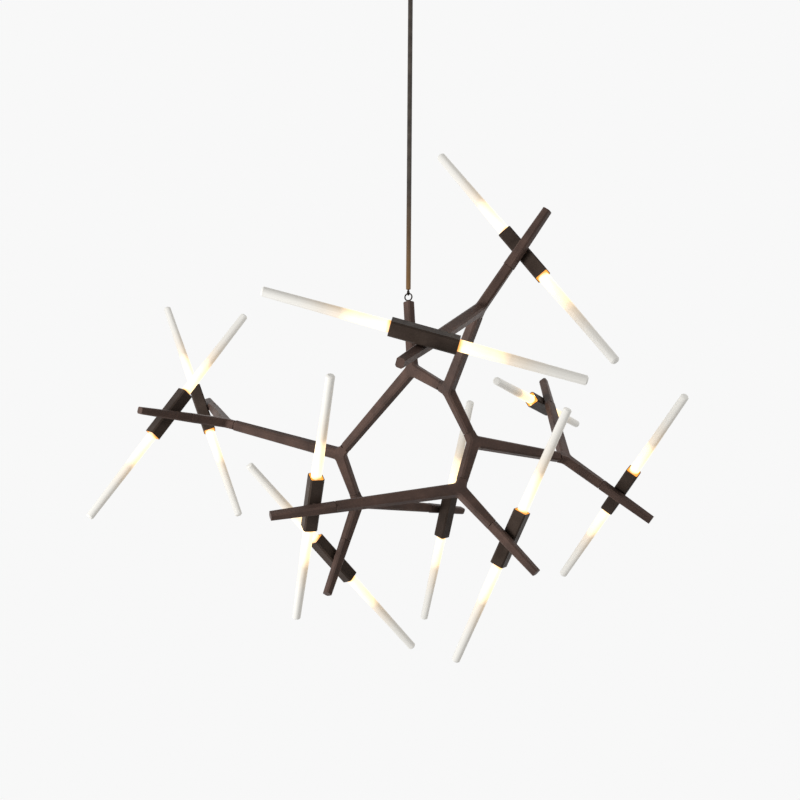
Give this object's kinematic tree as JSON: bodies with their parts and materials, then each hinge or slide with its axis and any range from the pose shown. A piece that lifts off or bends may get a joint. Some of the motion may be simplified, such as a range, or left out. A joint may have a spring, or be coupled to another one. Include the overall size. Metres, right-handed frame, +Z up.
{
  "type": "branching chandelier",
  "caption": "Ceiling chandelier on one rod: bronze Y-shaped branches on swivels carry square sleeves, each with a long frosted glass tube at both ends.",
  "frame": {"origin": "middle of the ceiling bracket's screw holes, on its top face, which lies against the ceiling", "axes": "+Z up into the ceiling, along the rod; +X along the bracket and to the right in the picture; +Y away from the picture's viewer"},
  "size_m": [1.4762, 1.5143, 1.7355],
  "materials": {
    "bronze": "satin",
    "brass": "satin",
    "steel": "satin",
    "terminal": "matte",
    "glass": "satin",
    "lamp": "matte"
  },
  "bodies": {
    "ceiling_end": {"ceiling_bracket": "steel", "nipple": "steel", "nipple_nuts": "steel", "terminal_block": "terminal", "canopy": "bronze", "canopy_collar": "bronze", "suspension_rod": "brass"},
    "upper_eye": {"rod_eye": "brass"},
    "stem": {"stem_eye": "brass", "stem": "bronze", "branch_a": "bronze"},
    "branch_b": {"branch_b": "bronze"},
    "branch_e": {"branch_e": "bronze"},
    "branch_h": {"branch_h": "bronze"},
    "branch_c": {"branch_c": "bronze"},
    "branch_i": {"branch_i": "bronze"},
    "branch_d": {"branch_d": "bronze"},
    "branch_g": {"branch_g": "bronze"},
    "branch_f": {"branch_f": "bronze"},
    "tail_1": {"tail_1": "bronze"},
    "sleeve_1": {"sleeve_1": "bronze", "glass_1": "glass", "lamps_1": "lamp"},
    "tail_2": {"tail_2": "bronze"},
    "sleeve_2": {"sleeve_2": "bronze", "glass_2": "glass", "lamps_2": "lamp"},
    "tail_3": {"tail_3": "bronze"},
    "sleeve_3": {"sleeve_3": "bronze", "glass_3": "glass", "lamps_3": "lamp"},
    "tail_4": {"tail_4": "bronze"},
    "sleeve_4": {"sleeve_4": "bronze", "glass_4": "glass", "lamps_4": "lamp"},
    "tail_5": {"tail_5": "bronze"},
    "sleeve_5": {"sleeve_5": "bronze", "glass_5": "glass", "lamps_5": "lamp"},
    "tail_6": {"tail_6": "bronze"},
    "sleeve_6": {"sleeve_6": "bronze", "glass_6": "glass", "lamps_6": "lamp"},
    "tail_7": {"tail_7": "bronze"},
    "sleeve_7": {"sleeve_7": "bronze", "glass_7": "glass", "lamps_7": "lamp"},
    "tail_8": {"tail_8": "bronze"},
    "sleeve_8": {"sleeve_8": "bronze", "glass_8": "glass", "lamps_8": "lamp"},
    "tail_9": {"tail_9": "bronze"},
    "sleeve_9": {"sleeve_9": "bronze", "glass_9": "glass", "lamps_9": "lamp"},
    "tail_10": {"tail_10": "bronze"},
    "sleeve_10": {"sleeve_10": "bronze", "glass_10": "glass", "lamps_10": "lamp"}
  },
  "joints": [
    {"name": "eye_turn", "type": "hinge", "parent": "ceiling_end", "child": "upper_eye", "pos_m": [0, 0, -0.81345], "axis": [0, 0, 1], "range_deg": [-170, 170]},
    {"name": "swing", "type": "hinge", "parent": "upper_eye", "child": "stem", "pos_m": [0, 0, -0.8265], "axis": [0.342, 0.9397, 0], "range_deg": [-25, 25]},
    {"name": "branch_b_swivel", "type": "hinge", "parent": "stem", "child": "branch_b", "pos_m": [0.07811, -0.1146, -1.0584], "axis": [0.5954, -0.703, -0.3891], "range_deg": [-30, 60]},
    {"name": "branch_e_swivel", "type": "hinge", "parent": "stem", "child": "branch_e", "pos_m": [-0.15556, 0.12406, -1.20667], "axis": [-0.5547, 0.5308, -0.6408], "range_deg": [-60, 60]},
    {"name": "branch_h_swivel", "type": "hinge", "parent": "branch_b", "child": "branch_h", "pos_m": [0.14511, -0.38759, -0.91761], "axis": [0.1697, -0.8467, 0.5043], "range_deg": [-90, 90]},
    {"name": "branch_c_swivel", "type": "hinge", "parent": "branch_b", "child": "branch_c", "pos_m": [0.14483, -0.12266, -1.16933], "axis": [0.4481, 0.0967, -0.8887], "range_deg": [-12, 20]},
    {"name": "branch_i_swivel", "type": "hinge", "parent": "branch_c", "child": "branch_i", "pos_m": [0.38273, 0.07457, -1.22707], "axis": [0.7527, 0.6487, -0.1125], "range_deg": [-90, 90]},
    {"name": "branch_d_swivel", "type": "hinge", "parent": "branch_c", "child": "branch_d", "pos_m": [0.12666, -0.1798, -1.28434], "axis": [-0.2678, -0.5287, -0.8054], "range_deg": [-60, 60]},
    {"name": "branch_g_swivel", "type": "hinge", "parent": "branch_e", "child": "branch_g", "pos_m": [-0.45062, 0.21693, -1.15058], "axis": [-0.9336, 0.2618, 0.2447], "range_deg": [-90, 90]},
    {"name": "branch_f_swivel", "type": "hinge", "parent": "branch_e", "child": "branch_f", "pos_m": [-0.13286, 0.17145, -1.32525], "axis": [0.3334, 0.2926, -0.8962], "range_deg": [-60, 45]},
    {"name": "tail_1_swivel", "type": "hinge", "parent": "branch_h", "child": "tail_1", "pos_m": [0.21272, -0.41469, -0.8103], "axis": [0.5578, -0.0376, 0.8291], "range_deg": [-60, 60]},
    {"name": "sleeve_1_pivot", "type": "hinge", "parent": "tail_1", "child": "sleeve_1", "pos_m": [0.23894, -0.41646, -0.77133], "axis": [-0.3781, -0.9008, 0.2136], "range_deg": [-33, 67]},
    {"name": "tail_2_swivel", "type": "hinge", "parent": "branch_h", "child": "tail_2", "pos_m": [0.03101, -0.66866, -1.00011], "axis": [-0.3956, -0.8607, -0.3204], "range_deg": [-90, 90]},
    {"name": "sleeve_2_pivot", "type": "hinge", "parent": "tail_2", "child": "sleeve_2", "pos_m": [0.01241, -0.70911, -1.01517], "axis": [-0.2303, 0.4307, -0.8726], "range_deg": [-33, 67]},
    {"name": "tail_3_swivel", "type": "hinge", "parent": "branch_i", "child": "tail_3", "pos_m": [0.39662, 0.3556, -1.08688], "axis": [-0.0214, 0.8784, 0.4774], "range_deg": [-90, 90]},
    {"name": "sleeve_3_pivot", "type": "hinge", "parent": "tail_3", "child": "sleeve_3", "pos_m": [0.39561, 0.39689, -1.06444], "axis": [0.7787, -0.2849, 0.5591], "range_deg": [-95, 5]},
    {"name": "tail_4_swivel", "type": "hinge", "parent": "branch_i", "child": "tail_4", "pos_m": [0.4929, 0.07138, -1.29543], "axis": [0.7951, -0.1832, -0.5781], "range_deg": [-60, 60]},
    {"name": "sleeve_4_pivot", "type": "hinge", "parent": "tail_4", "child": "sleeve_4", "pos_m": [0.53027, 0.06277, -1.3226], "axis": [-0.4902, -0.7554, -0.4348], "range_deg": [-50, 50]},
    {"name": "tail_5_swivel", "type": "hinge", "parent": "branch_d", "child": "tail_5", "pos_m": [0.19296, -0.22702, -1.38531], "axis": [0.6507, -0.2916, -0.7012], "range_deg": [-45, 60]},
    {"name": "sleeve_5_pivot", "type": "hinge", "parent": "tail_5", "child": "sleeve_5", "pos_m": [0.22354, -0.24073, -1.41827], "axis": [-0.4746, -0.8769, -0.0757], "range_deg": [-68, 32]},
    {"name": "tail_6_swivel", "type": "hinge", "parent": "branch_f", "child": "tail_6", "pos_m": [0.06797, 0.40904, -1.37046], "axis": [0.6394, 0.7657, -0.0701], "range_deg": [-90, 90]},
    {"name": "sleeve_6_pivot", "type": "hinge", "parent": "tail_6", "child": "sleeve_6", "pos_m": [0.09803, 0.44503, -1.37376], "axis": [-0.6921, 0.6129, 0.3813], "range_deg": [-36, 64]},
    {"name": "tail_7_swivel", "type": "hinge", "parent": "branch_f", "child": "tail_7", "pos_m": [-0.15506, 0.12958, -1.44598], "axis": [-0.2762, -0.4405, -0.8542], "range_deg": [-60, 60]},
    {"name": "sleeve_7_pivot", "type": "hinge", "parent": "tail_7", "child": "sleeve_7", "pos_m": [-0.16804, 0.10887, -1.48612], "axis": [0.6192, -0.7613, 0.1924], "range_deg": [-25, 60]},
    {"name": "tail_8_swivel", "type": "hinge", "parent": "branch_d", "child": "tail_8", "pos_m": [-0.16749, -0.27227, -1.34558], "axis": [-0.9564, -0.2606, -0.1317], "range_deg": [-90, 90]},
    {"name": "sleeve_8_pivot", "type": "hinge", "parent": "tail_8", "child": "sleeve_8", "pos_m": [-0.21244, -0.28452, -1.35177], "axis": [0.29, -0.7953, -0.5324], "range_deg": [-44, 56]},
    {"name": "tail_9_swivel", "type": "hinge", "parent": "branch_g", "child": "tail_9", "pos_m": [-0.55988, 0.14925, -1.13317], "axis": [-0.7438, -0.6615, 0.0955], "range_deg": [-60, 60]},
    {"name": "sleeve_9_pivot", "type": "hinge", "parent": "tail_9", "child": "sleeve_9", "pos_m": [-0.59484, 0.11816, -1.12868], "axis": [0.6409, -0.7465, -0.1787], "range_deg": [-19, 81]},
    {"name": "tail_10_swivel", "type": "hinge", "parent": "branch_g", "child": "tail_10", "pos_m": [-0.54295, 0.51236, -1.09559], "axis": [-0.2238, 0.9612, 0.1613], "range_deg": [-90, 90]},
    {"name": "sleeve_10_pivot", "type": "hinge", "parent": "tail_10", "child": "sleeve_10", "pos_m": [-0.55347, 0.55754, -1.08801], "axis": [0.9331, 0.1635, 0.3203], "range_deg": [-21, 79]}
  ]
}
